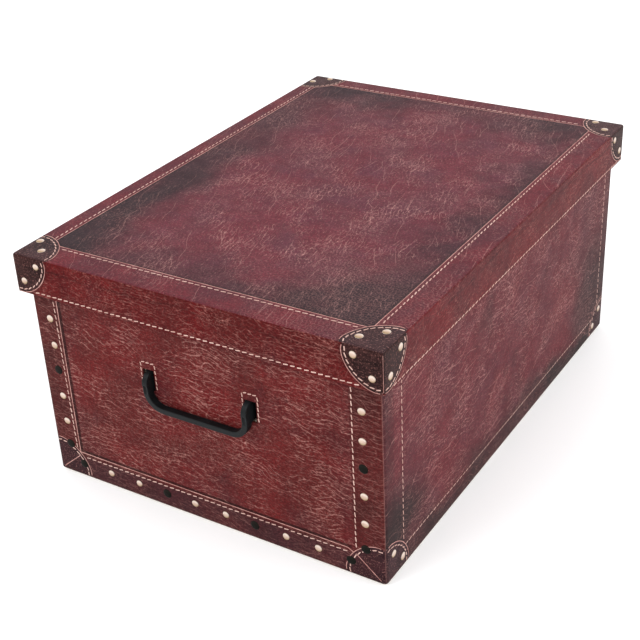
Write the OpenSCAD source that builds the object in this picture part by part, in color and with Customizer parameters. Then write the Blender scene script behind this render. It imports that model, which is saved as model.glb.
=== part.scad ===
// Large folded-board storage box for papers and keepsakes: a box body with
// double end walls, a telescoping lift-off lid and a swinging bail handle on
// each short end. Millimetres, +Z up, origin at the middle of the footprint.

/* [Lid] */
// Outside width of the lid, across the short ends
lid_w = 370; // [320:1:420]
// Outside depth of the lid, along the long sides
lid_d = 510; // [440:1:580]
// Height of the lid's skirt, measured on the outside
lid_skirt = 38; // [30:1:60]
// Length of the tabs that join the skirt at its corners
lid_tab = 60; // [30:1:100]

/* [Body] */
// Overall height, lid closed
total_h = 234; // [200:1:300]
// Room between the body and the lid's outside on each long side
side_step = 6.5; // [5:0.5:10]
// Room between the body and the lid's outside at each end
end_step = 8.5; // [7.5:0.5:12]
// Length of the corner flaps folded behind the end walls
flap_len = 100; // [60:1:110]
// Width of each locking tab under the inner end walls
lock_w = 40; // [20:1:60]
// Distance of the locking tabs from the middle of the end wall
lock_x = 90; // [60:1:110]

/* [Board] */
// Thickness of the board
board = 2; // [1.6:0.1:2.2]
// Loose fit between board layers
slack = 0.2; // [0.1:0.05:0.4]
// Gap under the lid's top panel, above the rim
lid_play = 0.3; // [0.2:0.1:1]

/* [Handle] */
// Outside width of the handle
handle_w = 108.5; // [100:0.5:125]
// Height of the swing axis above the base
pivot_z = 136.7; // [110:0.1:160]
// Distance from the swing axis down to the underside of the grip
handle_drop = 26.5; // [24:0.5:45]
// Thickness of the legs and of the grip, seen from the front
strap = 5.5; // [3.5:0.1:6.5]
// Depth of the legs at the top, square to the wall
leg_depth = 8.2; // [7:0.1:10]
// Depth of the grip, square to the wall
grip_depth = 6.4; // [6:0.1:9]
// Outside radius of the two lower corners
corner_r = 18.5; // [10:0.5:22]
// Radius of the round leg end that turns in the slot
knuckle_r = 10.2; // [9.5:0.1:12.5]
// Radius of the cross bar that keeps the leg from pulling out
bar_r = 2; // [1.5:0.1:2.3]
// Length of each cross bar
bar_len = 22; // [18:1:28]
// Distance of the slots from the middle of the end wall
slot_x = 53; // [45:0.5:60]
// Width of the slots in the end walls
slot_w = 12; // [8:0.5:14]
// Clearance above and below the round leg end
slot_play = 0.3; // [0.2:0.05:0.6]

/* [Hidden] */
$fn = 96;
body_w = lid_w - 2 * side_step;
body_d = lid_d - 2 * end_step;
rim_z = total_h - board - lid_play;
skirt_z = total_h - lid_skirt;
// The double end wall, from the outside in: outer panel, corner flap, inner panel
outer_in = body_d / 2 - board;
flap_in = outer_in - board;
inner_out = flap_in - slack;
inner_in = inner_out - board;
// Swing axis: in the middle of the outer panel's thickness
pivot_y = body_d / 2 - board / 2;
leg_x = handle_w / 2 - strap / 2;
slot_h = 2 * (knuckle_r + slot_play);
// Face of the handle nearest the wall, measured outwards from the swing axis
near = board / 2 + 0.8;
// Cross bar: clear of the inner wall by bar_gap with the handle down or level
bar_gap = 0.45;
bar_off = pivot_y - inner_in + bar_r + bar_gap;
// Skirt of the lid at the ends, from the outside in: panel, corner tab, hem
tab_in = lid_d / 2 - 2 * board;
hem_out = tab_in - slack;

// A rectangular panel from its low and high corners
module panel(lo, hi) {
  translate(lo) cube([hi[0] - lo[0], hi[1] - lo[1], hi[2] - lo[2]]);
}

// The two upright handle slots, cut through everything between two depths
module slots(y0, y1) {
  for (sx = [-1, 1])
    translate([sx * slot_x - slot_w / 2, y0, pivot_z - slot_h / 2])
      cube([slot_w, y1 - y0, slot_h]);
}

/* ---- body, drawn for the front end (-Y) and turned round for the rear ---- */

module base_panel() {
  color([0.72, 0.62, 0.50])
    difference() {
      panel([-body_w / 2 + board, -body_d / 2 + board, 0],
            [body_w / 2 - board, body_d / 2 - board, board]);
      // slots that take the locking tabs of the inner end walls
      for (e = [0, 1]) rotate([0, 0, 180 * e])
        for (sx = [-1, 1])
          translate([sx * lock_x - lock_w / 2 - 0.5, -inner_out - slack, -1])
            cube([lock_w + 1, board + 2 * slack, board + 2]);
    }
}

module side_wall(s) {
  color([0.45, 0.24, 0.26])
    panel([s > 0 ? body_w / 2 - board : -body_w / 2, -outer_in, 0],
          [s > 0 ? body_w / 2 : -body_w / 2 + board, outer_in, rim_z]);
}
module side_wall_left() side_wall(-1);
module side_wall_right() side_wall(1);

module end_outer() {
  color([0.47, 0.18, 0.18])
    difference() {
      panel([-body_w / 2, -body_d / 2, 0], [body_w / 2, -outer_in, rim_z - board]);
      slots(-body_d / 2 - 1, -outer_in + 1);
    }
}
module end_wall_front_outer() end_outer();
module end_wall_rear_outer() rotate([0, 0, 180]) end_outer();

module end_inner() {
  color([0.72, 0.62, 0.50])
    difference() {
      union() {
        panel([-body_w / 2 + board + 0.3, -inner_out, board],
              [body_w / 2 - board - 0.3, -inner_in, rim_z - board]);
        for (sx = [-1, 1])
          translate([sx * lock_x - lock_w / 2, -inner_out, 0.3])
            cube([lock_w, board, board]);
      }
      slots(-inner_out - 1, -inner_in + 1);
    }
}
module end_wall_front_inner() end_inner();
module end_wall_rear_inner() rotate([0, 0, 180]) end_inner();

// The narrow strip between two creases that carries the end wall over its rim
module rim_fold() {
  color([0.47, 0.18, 0.18])
    panel([-body_w / 2 + board + 0.1, -body_d / 2, rim_z - board],
          [body_w / 2 - board - 0.1, -inner_in, rim_z]);
}
module rim_fold_front() rim_fold();
module rim_fold_rear() rotate([0, 0, 180]) rim_fold();

module corner_flap(s) {
  color([0.72, 0.62, 0.50])
    panel([s > 0 ? body_w / 2 - board - flap_len : -body_w / 2 + board, -outer_in, board + 0.3],
          [s > 0 ? body_w / 2 - board : -body_w / 2 + board + flap_len, -flap_in, rim_z - board - 0.3]);
}
module corner_flap_front_left() corner_flap(-1);
module corner_flap_front_right() corner_flap(1);
module corner_flap_rear_left() rotate([0, 0, 180]) corner_flap(1);
module corner_flap_rear_right() rotate([0, 0, 180]) corner_flap(-1);

/* ---- lid ---- */

module lid_top_panel() {
  color([0.45, 0.28, 0.29])
    panel([-lid_w / 2, -lid_d / 2, total_h - board], [lid_w / 2, lid_d / 2, total_h]);
}

module lid_side_skirt(s) {
  color([0.45, 0.24, 0.26])
    panel([s > 0 ? lid_w / 2 - board : -lid_w / 2, -lid_d / 2 + board, skirt_z],
          [s > 0 ? lid_w / 2 : -lid_w / 2 + board, lid_d / 2 - board, total_h - board]);
}
module lid_side_skirt_left() lid_side_skirt(-1);
module lid_side_skirt_right() lid_side_skirt(1);

module lid_end_skirt() {
  color([0.49, 0.17, 0.17])
    panel([-lid_w / 2, -lid_d / 2, skirt_z], [lid_w / 2, -lid_d / 2 + board, total_h - board]);
}
module lid_end_skirt_front() lid_end_skirt();
module lid_end_skirt_rear() rotate([0, 0, 180]) lid_end_skirt();

// The inner layer of the lid's end skirt, rolled up over the lower edge
module lid_end_hem() {
  color([0.72, 0.62, 0.50])
    union() {
      panel([-lid_w / 2 + board + 0.3, -hem_out, skirt_z],
            [lid_w / 2 - board - 0.3, -hem_out + board, total_h - board - 0.3]);
      panel([-lid_w / 2 + board + 0.3, -lid_d / 2 + board, skirt_z],
            [lid_w / 2 - board - 0.3, -hem_out + board, skirt_z + board]);
    }
}
module lid_end_hem_front() lid_end_hem();
module lid_end_hem_rear() rotate([0, 0, 180]) lid_end_hem();

module lid_corner_tab(s) {
  color([0.72, 0.62, 0.50])
    panel([s > 0 ? lid_w / 2 - board - lid_tab : -lid_w / 2 + board, -lid_d / 2 + board, skirt_z + board + 0.3],
          [s > 0 ? lid_w / 2 - board : -lid_w / 2 + board + lid_tab, -tab_in, total_h - board - 0.3]);
}
module lid_corner_tab_front_left() lid_corner_tab(-1);
module lid_corner_tab_front_right() lid_corner_tab(1);
module lid_corner_tab_rear_left() rotate([0, 0, 180]) lid_corner_tab(1);
module lid_corner_tab_rear_right() rotate([0, 0, 180]) lid_corner_tab(-1);

/* ---- handle ---- */

// Outline of the bail in its own plane: x across, y up from the swing axis
module bail_outline() {
  w = handle_w / 2;
  difference() {
    union() {
      translate([-w, -handle_drop + corner_r]) square([2 * w, handle_drop - corner_r]);
      translate([-w + corner_r, -handle_drop]) square([2 * (w - corner_r), corner_r + 1]);
      for (sx = [-1, 1])
        translate([sx * (w - corner_r), -handle_drop + corner_r]) circle(r = corner_r);
    }
    union() {
      translate([-w + strap, -handle_drop + corner_r]) square([2 * (w - strap), handle_drop - corner_r + 1]);
      translate([-w + corner_r, -handle_drop + strap]) square([2 * (w - corner_r), corner_r]);
      for (sx = [-1, 1])
        translate([sx * (w - corner_r), -handle_drop + corner_r]) circle(r = corner_r - strap);
    }
  }
}

// Side view of the leg: x outwards from the swing axis, y up; it tapers to the grip
module leg_profile() {
  polygon([[near, 0.5], [near + leg_depth - 0.1, 0.5], [near + leg_depth - 0.1, 0],
           [near + grip_depth, -handle_drop], [near + grip_depth, -handle_drop - 1],
           [near, -handle_drop - 1]]);
}

module bail() {
  color([0.10, 0.11, 0.12])
    translate([0, -pivot_y, pivot_z])
      difference() {
        union() {
          intersection() {
            translate([0, 2, 0]) rotate([90, 0, 0]) linear_extrude(height = 30) bail_outline();
            translate([-handle_w, 0, 0]) rotate([90, 0, 0]) rotate([0, -90, 0])
              translate([0, 0, -2 * handle_w]) linear_extrude(height = 3 * handle_w)
                mirror([0, 0, 0]) leg_profile();
          }
          for (sx = [-1, 1]) {
            // round leg end, turning in its slot
            translate([sx * leg_x - strap / 2, 0, 0]) rotate([0, 90, 0])
              cylinder(r = knuckle_r, h = strap);
            // cross bar inside the box
            translate([sx * leg_x - bar_len / 2, bar_off, bar_off]) rotate([0, 90, 0])
              cylinder(r = bar_r, h = bar_len, $fn = 48);
          }
        }
        // moulding recess in the front of each leg
        for (sx = [-1, 1])
          translate([sx * leg_x - 1.3, -near - leg_depth - 1, -9.5])
            cube([2.6, 2.6, 8.5]);
      }
}
module handle_front() bail();
module handle_rear() rotate([0, 0, 180]) bail();

base_panel();
side_wall_left();
side_wall_right();
end_wall_front_outer();
end_wall_front_inner();
rim_fold_front();
end_wall_rear_outer();
end_wall_rear_inner();
rim_fold_rear();
corner_flap_front_left();
corner_flap_front_right();
corner_flap_rear_left();
corner_flap_rear_right();
lid_top_panel();
lid_side_skirt_left();
lid_side_skirt_right();
lid_end_skirt_front();
lid_end_skirt_rear();
lid_end_hem_front();
lid_end_hem_rear();
lid_corner_tab_front_left();
lid_corner_tab_front_right();
lid_corner_tab_rear_left();
lid_corner_tab_rear_right();
handle_front();
handle_rear();
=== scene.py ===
import math
import random

import bmesh
import bpy
import numpy as np
from mathutils import Matrix, Vector


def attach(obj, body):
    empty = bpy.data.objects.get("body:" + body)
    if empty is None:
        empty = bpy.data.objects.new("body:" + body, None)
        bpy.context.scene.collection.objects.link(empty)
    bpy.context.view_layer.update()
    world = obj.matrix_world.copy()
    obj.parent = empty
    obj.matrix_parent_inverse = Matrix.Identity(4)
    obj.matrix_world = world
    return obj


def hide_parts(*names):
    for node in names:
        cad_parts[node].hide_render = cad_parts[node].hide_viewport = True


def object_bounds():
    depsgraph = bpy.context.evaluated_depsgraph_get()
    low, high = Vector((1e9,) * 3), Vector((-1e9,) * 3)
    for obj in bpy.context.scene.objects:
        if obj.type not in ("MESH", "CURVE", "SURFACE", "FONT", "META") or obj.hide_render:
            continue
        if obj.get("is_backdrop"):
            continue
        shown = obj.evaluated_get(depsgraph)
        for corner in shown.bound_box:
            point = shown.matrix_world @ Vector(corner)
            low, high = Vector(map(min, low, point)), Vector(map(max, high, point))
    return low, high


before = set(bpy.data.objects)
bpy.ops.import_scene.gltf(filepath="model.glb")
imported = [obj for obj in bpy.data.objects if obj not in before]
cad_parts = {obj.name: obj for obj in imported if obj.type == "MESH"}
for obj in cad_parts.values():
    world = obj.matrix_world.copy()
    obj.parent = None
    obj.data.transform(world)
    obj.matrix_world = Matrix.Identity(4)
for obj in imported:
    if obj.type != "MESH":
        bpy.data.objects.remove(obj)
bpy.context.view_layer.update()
rng = random.Random(7)

# ------------------------------------------------------------------ sizes, mm
BX, BY, RIM = 178.5, 246.5, 231.7  # body half width, half depth, rim height
LX, LY, LB, LT = 185.0, 255.0, 196.0, 234.0  # lid half width, half depth, lower edge, top
T = 2.0  # board
SX, SW, PZ, SH = 53.0, 12.0, 136.7, 21.0  # handle slots
PATCH_T, PATCH_S, PATCH_B = 41.5, 38.6, 40.0  # corner patch radii: lid top, lid skirt, body


def srgb(r, g, b):
    def f(c):
        c /= 255.0
        return c / 12.92 if c <= 0.04045 else ((c + 0.055) / 1.055) ** 2.4

    return (f(r), f(g), f(b), 1.0)


# ------------------------------------------------------------- node shorthand
class Mat:
    """A material and short calls for its nodes."""

    def __init__(self, name):
        self.m = bpy.data.materials.new(name)
        self.m.use_nodes = True
        self.t = self.m.node_tree
        self.t.nodes.clear()
        self.out = self.t.nodes.new("ShaderNodeOutputMaterial")
        self.b = self.t.nodes.new("ShaderNodeBsdfPrincipled")
        self.t.links.new(self.b.outputs[0], self.out.inputs[0])

    def put(self, sock, v):
        if isinstance(v, bpy.types.NodeSocket):
            self.t.links.new(v, sock)
        elif v is not None:
            if hasattr(sock.default_value, "__len__") and not hasattr(v, "__len__"):
                v = [v] * len(sock.default_value)
            sock.default_value = v

    def math(self, op, a, b=None, c=None, clamp=False):
        n = self.t.nodes.new("ShaderNodeMath")
        n.operation, n.use_clamp = op, clamp
        for s, v in zip(n.inputs, (a, b, c)):
            self.put(s, v)
        return n.outputs[0]

    def add(self, a, b):
        return self.math("ADD", a, b)

    def sub(self, a, b):
        return self.math("SUBTRACT", a, b)

    def mul(self, a, b):
        return self.math("MULTIPLY", a, b)

    def vec(self, op, a, b=None, scale=None):
        n = self.t.nodes.new("ShaderNodeVectorMath")
        n.operation = op
        self.put(n.inputs[0], a)
        if b is not None:
            self.put(n.inputs[1], b)
        if scale is not None:
            self.put(n.inputs["Scale"], scale)
        return n.outputs["Value"] if op in ("LENGTH", "DISTANCE", "DOT_PRODUCT") else n.outputs[0]

    def xyz(self, x, y, z=0.0):
        n = self.t.nodes.new("ShaderNodeCombineXYZ")
        for s, v in zip(n.inputs, (x, y, z)):
            self.put(s, v)
        return n.outputs[0]

    def split(self, v):
        n = self.t.nodes.new("ShaderNodeSeparateXYZ")
        self.put(n.inputs[0], v)
        return n.outputs

    def coord(self):
        n = self.t.nodes.new("ShaderNodeTexCoord")
        return self.vec("SCALE", n.outputs["Object"], scale=1000.0)

    def noise(self, v, size, detail=2.0, rough=0.5, dist=0.0, colour=False, four=None):
        n = self.t.nodes.new("ShaderNodeTexNoise")
        if four is not None:
            n.noise_dimensions = "4D"
            self.put(n.inputs["W"], four)
        self.put(n.inputs["Vector"], v)
        self.put(n.inputs["Scale"], 1.0 / size)
        self.put(n.inputs["Detail"], detail)
        self.put(n.inputs["Roughness"], rough)
        self.put(n.inputs["Distortion"], dist)
        return n.outputs["Color" if colour else "Fac"]

    def cells(self, v, size, feature="DISTANCE_TO_EDGE", rand=1.0, flat=True):
        n = self.t.nodes.new("ShaderNodeTexVoronoi")
        n.feature = feature
        if flat:
            n.voronoi_dimensions = "2D"
        self.put(n.inputs["Vector"], v)
        self.put(n.inputs["Scale"], 1.0 / size)
        self.put(n.inputs["Randomness"], rand)
        return n.outputs["Distance"]

    def family(self, v, degrees, gap, run, half, where, cut, bend=1.0, curl=1.0):
        """Thin lines that run one way, about gap mm apart: each bends, and is broken about every run mm at places of its own."""
        n = self.t.nodes.new("ShaderNodeGroup")
        n.node_tree = LINES
        for s, x in zip(n.inputs, (v, math.radians(degrees), gap, run, half, where, cut, bend, curl)):
            self.put(s, x)
        return n.outputs[0]

    def step(self, x, a, b, lo=0.0, hi=1.0):
        """Goes smoothly from lo at a to hi at b."""
        n = self.t.nodes.new("ShaderNodeMapRange")
        n.interpolation_type = "SMOOTHSTEP"
        for s, v in zip(n.inputs, (x, a, b, lo, hi)):
            self.put(s, v)
        return n.outputs[0]

    def mix(self, f, a, b, kind="MIX"):
        n = self.t.nodes.new("ShaderNodeMix")
        n.data_type, n.blend_type = "RGBA", kind
        self.put(n.inputs[0], f)
        self.put(n.inputs[6], a)
        self.put(n.inputs[7], b)
        return n.outputs[2]

    def gain(self, c, k):
        """Colour times a number that varies over the surface."""
        return self.mix(1.0, c, self.xyz(k, k, k), "MULTIPLY")

    def bump(self, h, mm, strength=1.0, over=None):
        n = self.t.nodes.new("ShaderNodeBump")
        self.put(n.inputs["Height"], h)
        n.inputs["Distance"].default_value = mm / 1000.0
        n.inputs["Strength"].default_value = strength
        if over is not None:
            self.put(n.inputs["Normal"], over)
        return n.outputs[0]

    def finish(self, colour, rough, normal=None, spec=0.5):
        self.put(self.b.inputs["Base Color"], colour)
        self.put(self.b.inputs["Roughness"], rough)
        self.b.inputs["Specular IOR Level"].default_value = spec
        if normal is not None:
            self.put(self.b.inputs["Normal"], normal)
        return self.m


def line_group():
    """The node group behind Mat.family."""
    g = Mat.__new__(Mat)
    g.t = bpy.data.node_groups.new("wavy_lines", "ShaderNodeTree")
    g.t.interface.new_socket("Vector", in_out="INPUT", socket_type="NodeSocketVector")
    for nm in ("Angle", "Gap", "Run", "Half", "Where", "Cut", "Bend", "Curl"):
        g.t.interface.new_socket(nm, in_out="INPUT", socket_type="NodeSocketFloat")
    g.t.interface.new_socket("Line", in_out="OUTPUT", socket_type="NodeSocketFloat")
    v, angle, gap, run, half, where, cut, bend, curl = list(g.t.nodes.new("NodeGroupInput").outputs)[:9]
    cos, sin = g.math("COSINE", angle), g.math("SINE", angle)
    s = g.split(v)
    along = g.add(g.mul(s[0], cos), g.mul(s[1], sin))
    across = g.sub(g.mul(s[1], cos), g.mul(s[0], sin))
    for size, amp in ((60.0, g.mul(bend, 44.0)), (17.0, g.mul(curl, 8.5)), (5.0, g.mul(curl, 1.9))):
        n = g.noise(g.vec("ADD", v, (size * 3.1, size * 1.7, 0.0)), size, 1.0, 0.5)
        across = g.add(across, g.mul(g.sub(n, 0.5), amp))
    x = g.math("DIVIDE", across, gap)
    row = g.math("FLOOR", x)
    d = g.mul(g.math("ABSOLUTE", g.sub(g.math("FRACT", x), 0.5)), gap)
    on = g.noise(g.xyz(g.add(g.math("DIVIDE", along, run), g.mul(row, 17.3)), g.mul(row, 5.7), 0.0), 1.0, 2.0, 0.5)
    wide = g.mul(g.mul(g.step(on, cut, g.add(cut, 0.16)), where), half)
    line = g.math("SUBTRACT", 1.0, g.math("DIVIDE", d, g.add(wide, 0.03)), clamp=True)
    line = g.mul(line, g.step(wide, 0.05, g.mul(half, 0.6)))
    g.put(g.t.nodes.new("NodeGroupOutput").inputs[0], line)
    return g.t


LINES = line_group()


# ------------------------------------------------------- printed leather paper
def turned(m, v, degrees, along, across):
    """The plane turned by an angle and stretched, for creases that run one way."""
    a = math.radians(degrees)
    s = m.split(v)
    u = m.add(m.mul(s[0], math.cos(a) / along), m.mul(s[1], math.sin(a) / along))
    w = m.add(m.mul(s[0], -math.sin(a) / across), m.mul(s[1], math.cos(a) / across))
    return m.xyz(u, w, 0.0)


def leather(
    name,
    u_axis,
    v_axis,
    shift,
    red=(132, 40, 42),
    brown=(104, 46, 44),
    deep=(74, 30, 36),
    vein=(184, 108, 96),
    slate=(50, 30, 36),
    slope=-6.0,
    crease=0.6,
    crack=0.35,
    cover=(0.36, 0.60),
    strip=((104, 42, 44), (78, 36, 38)),
    net=0.35,
    long_vein=0.3,
    long_slope=40.0,
    print_and_sheen_tint=(1.0, 1.0, 1.0),
    zones=None,
    spec=0.1,
    bend=1.0,
    curl=0.55,
    net_slope=0.0,
    net_size=2.4,
    net_zone=None,
    patch_hue=(52, 24, 28),
    patch_deep=(38, 18, 24),
    patch_pale=0.42,
    worn=None,
):
    """zones(m, u, v, warp) gives (border, slate, patch, shadow) masks from 0 to 1 for this face."""
    m = Mat(name)
    s = m.split(m.coord())
    u = m.mul(s[abs(u_axis) - 1], 1.0 if u_axis > 0 else -1.0)
    u.node.name = "face_sign"
    v = s[v_axis - 1]
    p = m.vec("ADD", m.xyz(u, v, 0.0), shift)
    p.node.name = "face_shift"
    w1 = m.vec("SUBTRACT", m.noise(p, 48, 2.0, 0.5, colour=True), (0.5, 0.5, 0.5))
    w2 = m.vec("SUBTRACT", m.noise(p, 9, 2.0, 0.6, colour=True), (0.5, 0.5, 0.5))
    q1 = m.vec("ADD", p, m.vec("SCALE", w1, scale=26.0))
    q = m.vec("ADD", q1, m.vec("SCALE", w2, scale=4.2))

    border, dark, patch, shadow = zones(m, u, v, w1)

    blot = m.noise(q1, 62, 3.0, 0.55)
    blot2 = m.noise(m.vec("ADD", q1, (310.0, 90.0, 0.0)), 38, 3.0, 0.55)
    mid = m.noise(q, 14, 4.0, 0.6)
    grain = m.noise(p, 2.1, 3.0, 0.8)
    dashes = m.noise(turned(m, m.vec("ADD", p, m.vec("SCALE", w2, scale=3.0)), slope, 4.6, 1.5), 1.0, 2.0, 0.6)
    fleck = m.noise(p, 4.0, 3.0, 0.7)

    c = m.mix(m.step(blot, 0.36, 0.64), srgb(*red), srgb(*brown))
    c = m.mix(m.mul(m.step(blot2, 0.48, 0.74), 0.45), c, srgb(*deep))
    c = m.gain(c, m.step(mid, 0.2, 0.8, 0.86, 1.14))

    # border strips: smoother and a little browner
    smooth = m.mix(m.step(blot2, 0.35, 0.65), srgb(*strip[0]), srgb(*strip[1]))
    c = m.mix(m.mul(border, 0.75), c, smooth)

    # thin wavy creases, each broken along its own length, gathered in patches
    gather = m.step(m.noise(m.vec("ADD", q1, (77.0, 13.0, 0.0)), 52, 3.0, 0.6), *cover)
    f1 = m.family(p, slope, 4.6, 16.0, 0.52, m.add(m.mul(gather, 0.85), 0.15), 0.40, bend)
    f2 = m.family(m.vec("ADD", p, (57.0, 31.0, 0.0)), slope - 8.0, 6.4, 13.0, 0.50, m.add(m.mul(gather, 0.7), 0.3), 0.44, bend)
    f3 = m.family(m.vec("ADD", p, (157.0, 231.0, 0.0)), slope + 14.0, 8.5, 9.0, 0.48, m.add(m.mul(gather, 0.6), 0.4), 0.48, bend)
    creases = m.math("MAXIMUM", f1, m.math("MAXIMUM", m.mul(f2, 0.85), m.mul(f3, 0.6)))
    # the short cracks between them
    e2 = m.cells(turned(m, m.vec("ADD", p, m.vec("SCALE", w2, scale=3.2)), slope + 3.0, 10.0, 2.7), 1.0)
    cracks = m.mul(m.step(e2, 0.15, 0.03), m.mul(m.add(m.mul(gather, 0.8), 0.2), m.step(fleck, 0.42, 0.60)))

    # pebbled grain with a pale net
    e3 = m.cells(turned(m, m.vec("ADD", p, m.vec("SCALE", w2, scale=2.0)), net_slope, net_size * 1.5, net_size), 1.0)
    net_on = m.step(m.noise(m.vec("ADD", q1, (12.0, 250.0, 0.0)), 56, 3.0, 0.6), 0.46, 0.66)
    webs = m.mul(m.step(e3, 0.16, 0.03), m.mul(net_on, m.step(fleck, 0.36, 0.58)))
    if net_zone is not None:
        webs = m.math("MAXIMUM", webs, m.mul(m.step(e3, 0.18, 0.03), net_zone(m, u, v, w1)))

    # a few long pale veins
    bundle = m.step(m.noise(m.vec("ADD", q1, (5.0, 401.0, 0.0)), 70, 2.0, 0.5), 0.44, 0.62)
    veins = None
    for k, (gap, run, half) in enumerate(((9.0, 42.0, 0.50), (13.0, 60.0, 0.55), (31.0, 50.0, 0.55))):
        f = m.family(m.vec("ADD", p, (11.0 + 80.0 * k, 77.0 - 70.0 * k, 0.0)), long_slope + 6.0 * (k - 1), gap, run, half, bundle if k < 2 else 0.8, 0.44, bend * 1.2, curl)
        veins = f if veins is None else m.math("MAXIMUM", veins, f)

    calm = m.math("SUBTRACT", 1.0, m.mul(border, 0.45), clamp=True)
    pale = m.add(m.mul(creases, crease), m.mul(cracks, crack))
    pale = m.add(pale, m.mul(webs, net))
    pale = m.add(pale, m.mul(m.step(dashes, 0.55, 0.72), 0.20))
    pale = m.mul(pale, calm)
    pale = m.add(pale, m.mul(veins, long_vein))
    pale = m.mul(pale, m.step(fleck, 0.30, 0.70, 0.65, 1.15))
    pale = m.mul(pale, m.sub(1.0, m.mul(dark, 0.48)))
    specks = m.mul(m.step(m.noise(p, 1.5, 2.0, 0.6), 0.54, 0.66), m.step(fleck, 0.34, 0.60, 0.3, 1.0))
    pale = m.mul(pale, m.sub(1.0, m.mul(patch, 0.8)))
    pale = m.math("MAXIMUM", pale, m.mul(m.mul(specks, patch), patch_pale))
    if worn is not None:
        # the print is rubbed pale along the upright folds
        rub = m.mul(m.step(m.math("ABSOLUTE", u), worn - 2.0, worn - 0.8), m.step(fleck, 0.30, 0.56, 0.35, 1.0))
        pale = m.math("MAXIMUM", pale, m.mul(rub, 0.42))

    # each face's print colour is multiplied by a per-face tint that also holds painted sheen: paler and more mauve on
    # the lid top and the side faces, redder on the front and rear faces
    c = m.mix(1.0, c, (*print_and_sheen_tint, 1.0), "MULTIPLY")
    c = m.mix(m.mul(dark, 0.95), c, srgb(*slate))
    c = m.mix(patch, c, m.gain(m.mix(m.step(blot2, 0.3, 0.7), srgb(*patch_hue), srgb(*patch_deep)), m.step(mid, 0.2, 0.8, 0.75, 1.3)))
    c = m.mix(m.math("MULTIPLY", pale, m.step(patch, 0.0, 1.0, 1.0, 0.8), clamp=True), c, srgb(*vein))
    c = m.gain(c, m.step(grain, 0.28, 0.72, 0.62, 1.45))
    c = m.gain(c, m.sub(1.0, m.mul(shadow, 0.72)))

    height = m.add(m.mul(m.step(e3, 0.0, 0.35), 0.5), m.mul(grain, 0.5))
    height = m.sub(height, m.mul(creases, 0.6))
    rough = m.add(m.step(mid, 0.2, 0.8, 0.58, 0.46), m.mul(grain, 0.16))
    n = m.bump(height, 0.10, 0.45)
    return m.finish(c, rough, n, spec)


def twin(mat, name, sign, shift):
    """The same print for the opposite face, cut from another place in the leather."""
    c = mat.copy()
    c.name = name
    c.node_tree.nodes["face_sign"].inputs[1].default_value = sign
    c.node_tree.nodes["face_shift"].inputs[1].default_value = shift
    return c


def band(m, x, a, b, soft=0.5):
    """1 between a and b."""
    return m.mul(m.step(x, a - soft, a + soft), m.step(x, b - soft, b + soft, 1.0, 0.0))


PULL, PULL_L = 3.2, 4.0  # a corner patch's outline bends in by this much where it meets a fold, over this distance


def patch_dist(m, u, v, cu, cv):
    """Distance from a patch's corner, with its outline's bend at the folds taken in."""
    du, dv = m.sub(u, cu), m.sub(v, cv)
    d = m.vec("LENGTH", m.xyz(du, dv, 0.0))
    for x in (du, dv):
        e = m.math("EXPONENT", m.mul(m.math("ABSOLUTE", x), -1.0 / PULL_L))
        d = m.add(d, m.mul(e, PULL))
    return d


def near(m, u, v, centres, r, soft=0.35):
    """1 inside a patch of radius r about any of the centres."""
    f = None
    for cu, cv in centres:
        d = patch_dist(m, u, v, cu, cv)
        g = m.step(d, r - soft, r + soft, 1.0, 0.0)
        f = g if f is None else m.math("MAXIMUM", f, g)
    return f


def ring_shade(m, u, v, centres, r, reach=5.0):
    """A soft printed shadow just outside a corner patch."""
    f = None
    for cu, cv in centres:
        d = patch_dist(m, u, v, cu, cv)
        g = m.mul(m.step(d, r - 0.3, r + 0.3), m.step(d, r, r + reach, 1.0, 0.0))
        f = g if f is None else m.math("MAXIMUM", f, g)
    return m.mul(f, 0.45)


def zones_top(m, u, v, warp):
    inx = m.mul(m.step(u, -165.9, -165.1), m.step(u, 158.7, 159.5, 1.0, 0.0))
    iny = m.mul(m.step(v, -226.6, -225.8), m.step(v, 231.1, 231.9, 1.0, 0.0))
    border = m.sub(1.0, m.mul(inx, iny))
    ws = m.split(warp)
    uu = m.add(u, m.mul(ws[0], 110.0))
    vv = m.add(v, m.mul(ws[1], 130.0))
    wob = m.step(m.noise(m.xyz(u, v, 5.0), 70, 3.0, 0.55), 0.32, 0.58, 0.78, 1.0)
    left = m.mul(m.step(m.add(u, m.mul(ws[0], 60.0)), -144.0, -92.0, 1.0, 0.0), m.step(v, -130.0, 90.0, 1.0, 0.62))
    right = m.mul(m.step(uu, 104.0, 168.0), m.step(vv, 60.0, 150.0, 0.75, 0.45))
    back = m.mul(m.step(vv, 160.0, 232.0), m.step(m.math("ABSOLUTE", m.sub(uu, 20.0)), 20.0, 120.0, 0.5, 0.85))
    front = m.mul(m.step(vv, -228.0, -150.0, 1.0, 0.0), m.step(uu, -20.0, 110.0, 0.55, 1.0))
    corner = m.mul(m.step(uu, 70.0, 125.0), m.step(vv, -185.0, -120.0, 1.0, 0.0))
    light = m.math("MULTIPLY", m.sub(1.0, left), m.sub(1.0, right))
    light = m.math("MULTIPLY", light, m.mul(m.sub(1.0, back), m.sub(1.0, front)))
    light = m.math("MULTIPLY", light, m.sub(1.0, m.mul(corner, 0.88)))
    dark = m.mul(m.mul(m.sub(1.0, light), wob), m.sub(1.0, border))
    cs = [(sx * LX, sy * LY) for sx in (-1, 1) for sy in (-1, 1)]
    patch = near(m, u, v, cs, PATCH_T)
    # the panel is printed a shade darker beside the border strips
    sh = m.math("MAXIMUM", band(m, u, -165.5, -163.0, 0.8), band(m, u, 156.5, 159.0, 0.8))
    sh = m.math("MAXIMUM", sh, m.math("MAXIMUM", band(m, v, -226.0, -223.5, 0.8), band(m, v, 229.0, 231.4, 0.8)))
    sh = m.mul(m.mul(sh, 0.45), m.sub(1.0, patch))
    return border, dark, patch, m.math("MAXIMUM", sh, ring_shade(m, u, v, cs, PATCH_T, 3.5))


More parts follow.
